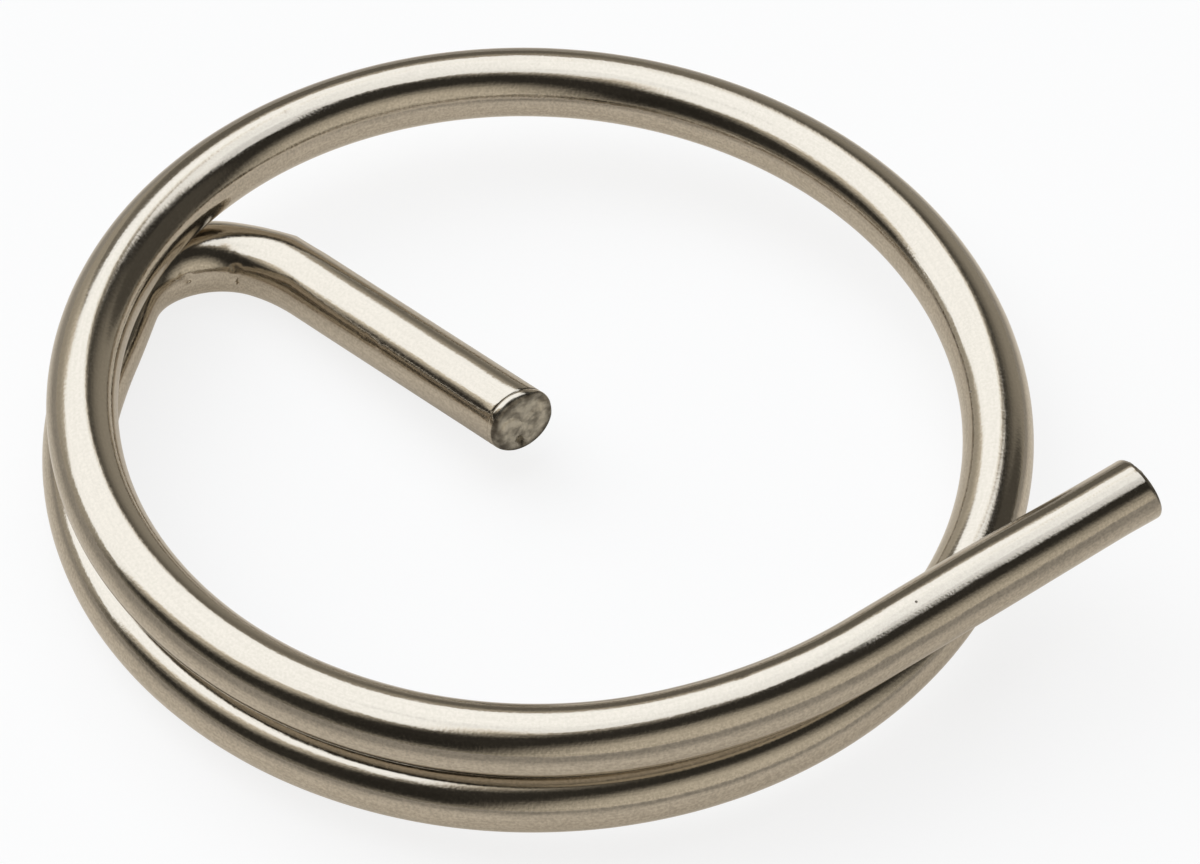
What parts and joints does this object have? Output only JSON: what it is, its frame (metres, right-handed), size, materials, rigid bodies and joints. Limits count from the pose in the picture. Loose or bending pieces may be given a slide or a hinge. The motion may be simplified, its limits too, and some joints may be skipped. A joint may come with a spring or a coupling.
{
  "type": "cotter ring",
  "caption": "Cotter ring of round spring wire: a close coil with a straight leg turned in across its loop and a straight tail that leaves it over the first turn.",
  "frame": {"origin": "on the surface that the ring lies on, under the middle of its outline seen from above", "axes": "+Z along the coil's axis, the way the coil climbs from the leg to the tail; +X along the ring's longest side, the way the tail points out"},
  "size_m": [0.0234, 0.0208, 0.004],
  "materials": {
    "wire": "bright drawn and tumbled stainless wire"
  },
  "bodies": {
    "root": {"cotter_ring": "wire"}
  },
  "joints": []
}
